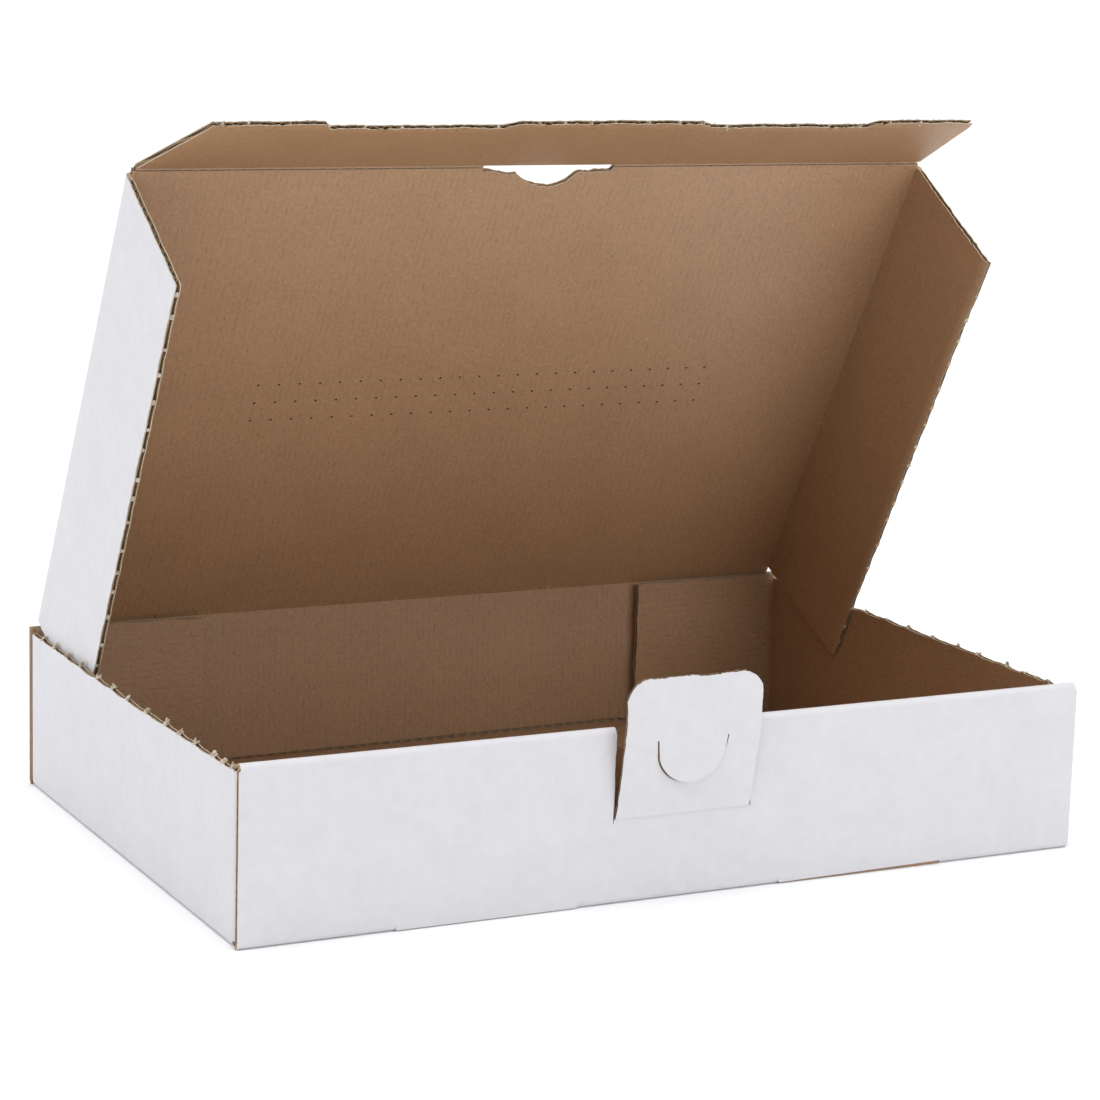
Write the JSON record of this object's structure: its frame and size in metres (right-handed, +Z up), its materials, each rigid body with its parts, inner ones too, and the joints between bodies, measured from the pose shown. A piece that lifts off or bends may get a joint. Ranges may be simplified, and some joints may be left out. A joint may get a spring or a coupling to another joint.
{
  "type": "flat postal box",
  "caption": "Flat folding postal box of white-lined corrugated board with a hinged lid, tuck flap, side flaps and a lock tab in the front wall, lid part open.",
  "frame": {"origin": "centre of the underside of the base", "axes": "+X along the front wall to the right, +Y from the front wall to the back wall, +Z up"},
  "size_m": [0.24, 0.1654, 0.1924],
  "materials": {
    "board": "matte white outer liner, brown kraft inside"
  },
  "bodies": {
    "tray": {"tray": "board"},
    "lid": {"lid": "board"},
    "tuck_flap": {"tuck_flap": "board"},
    "left_side_flap": {"left_side_flap": "board"},
    "right_side_flap": {"right_side_flap": "board"},
    "lock_tab": {"lock_tab": "board"}
  },
  "joints": [
    {"name": "lid_hinge", "type": "hinge", "parent": "tray", "child": "lid", "pos_m": [0, 0.0785, 0.045], "axis": [-1, 0, 0], "range_deg": [-61, 44]},
    {"name": "tuck_flap_fold", "type": "hinge", "parent": "lid", "child": "tuck_flap", "pos_m": [0, 0.00498, 0.17764], "axis": [1, 0, 0], "range_deg": [-53.68, 74.42]},
    {"name": "left_flap_fold", "type": "hinge", "parent": "lid", "child": "left_side_flap", "pos_m": [-0.11675, 0.0785, 0.045], "axis": [0, -0.4848, 0.8746], "range_deg": [0, 85]},
    {"name": "right_flap_fold", "type": "hinge", "parent": "lid", "child": "right_side_flap", "pos_m": [0.11675, 0.0785, 0.045], "axis": [0, 0.4848, -0.8746], "range_deg": [0, 85]},
    {"name": "lock_tab_fold", "type": "hinge", "parent": "tray", "child": "lock_tab", "pos_m": [0, -0.08, 0.0207], "axis": [1, 0, 0], "range_deg": [-11, 79]}
  ],
  "couplings": [
    {"joint": "tuck_flap_fold", "follows": "lid_hinge", "ratio": -1.22}
  ]
}
